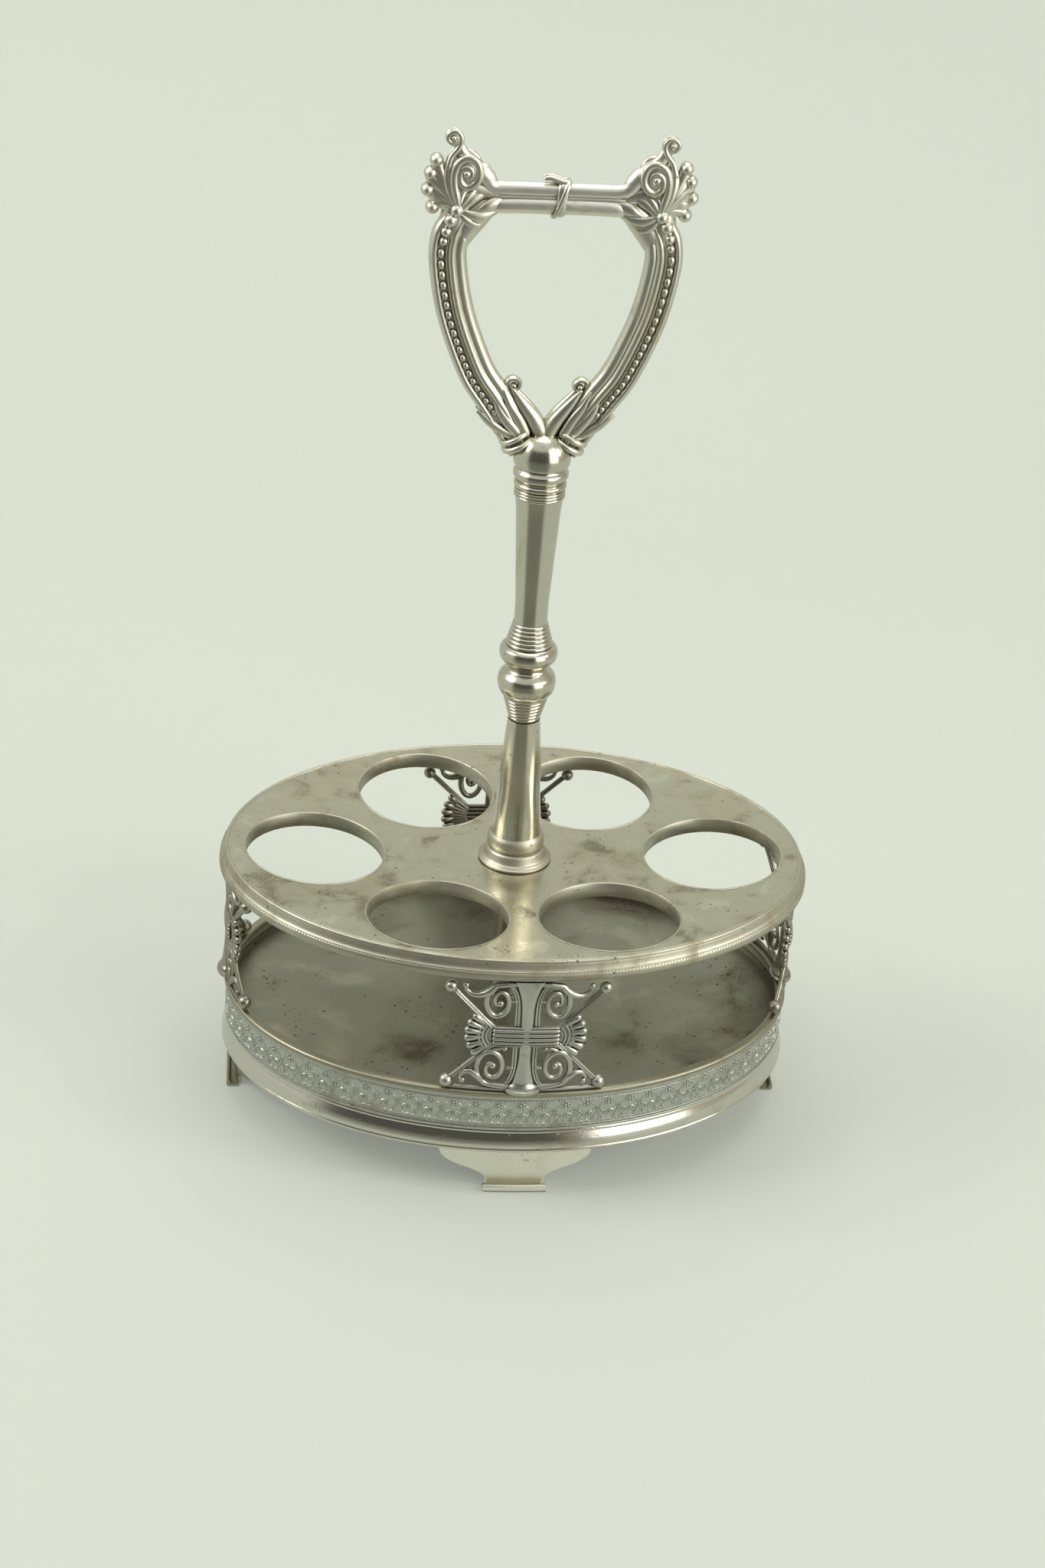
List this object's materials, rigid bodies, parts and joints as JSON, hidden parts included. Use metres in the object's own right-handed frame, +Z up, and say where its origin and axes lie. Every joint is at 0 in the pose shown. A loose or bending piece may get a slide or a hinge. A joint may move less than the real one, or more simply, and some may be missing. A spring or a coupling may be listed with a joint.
{
  "type": "bottle stand",
  "caption": "Oval table stand with ringed holes for bottles in a dished plate, pierced brackets over a low-walled floor on feet, a turned stem and a loop handle.",
  "frame": {"origin": "on the ground, under the middle of the oval", "axes": "+X along the oval, +Y across it to the back, +Z up along the stem"},
  "size_m": [0.2154, 0.1622, 0.364],
  "materials": {
    "silver_polished": "silver plate, polished by use, with warm tarnish",
    "silver_worn": "silver plate, satin with pitting and brown mottling",
    "silver_stained": "dull stained plate with an olive grey bloom",
    "silver_oxidised": "cast and plated, dark in the recesses",
    "fixing_steel": "plain turned metal, dull"
  },
  "bodies": {
    "root": {"floor_pan": "silver_stained", "sleeve_tube": "silver_stained", "gallery_band": "silver_worn", "gallery_wire": "silver_worn", "foot_front": "silver_worn", "foot_right": "silver_worn", "foot_back": "silver_worn", "foot_left": "silver_worn", "top_plate": "silver_worn", "hole_band_1": "silver_worn", "hole_band_2": "silver_worn", "hole_band_3": "silver_worn", "hole_band_4": "silver_worn", "hole_band_5": "silver_worn", "hole_band_6": "silver_worn", "bracket_front": "silver_oxidised", "bracket_right": "silver_oxidised", "bracket_back": "silver_oxidised", "bracket_left": "silver_oxidised", "base_moulding": "silver_polished", "rim_moulding": "silver_polished", "stem_foot": "silver_polished", "lower_tube": "silver_polished", "lower_knop": "silver_polished", "upper_knop": "silver_polished", "upper_tube": "silver_polished", "ferrule": "silver_polished", "arm_socket": "silver_polished", "handle_arm_left": "silver_polished", "handle_arm_right": "silver_polished", "lower_bar": "silver_polished", "upper_bar": "silver_polished", "bar_tie": "silver_polished", "corner_scroll_left": "silver_polished", "corner_scroll_right": "silver_polished", "tie_rod": "fixing_steel", "washer": "fixing_steel", "nut": "fixing_steel"}
  },
  "joints": []
}
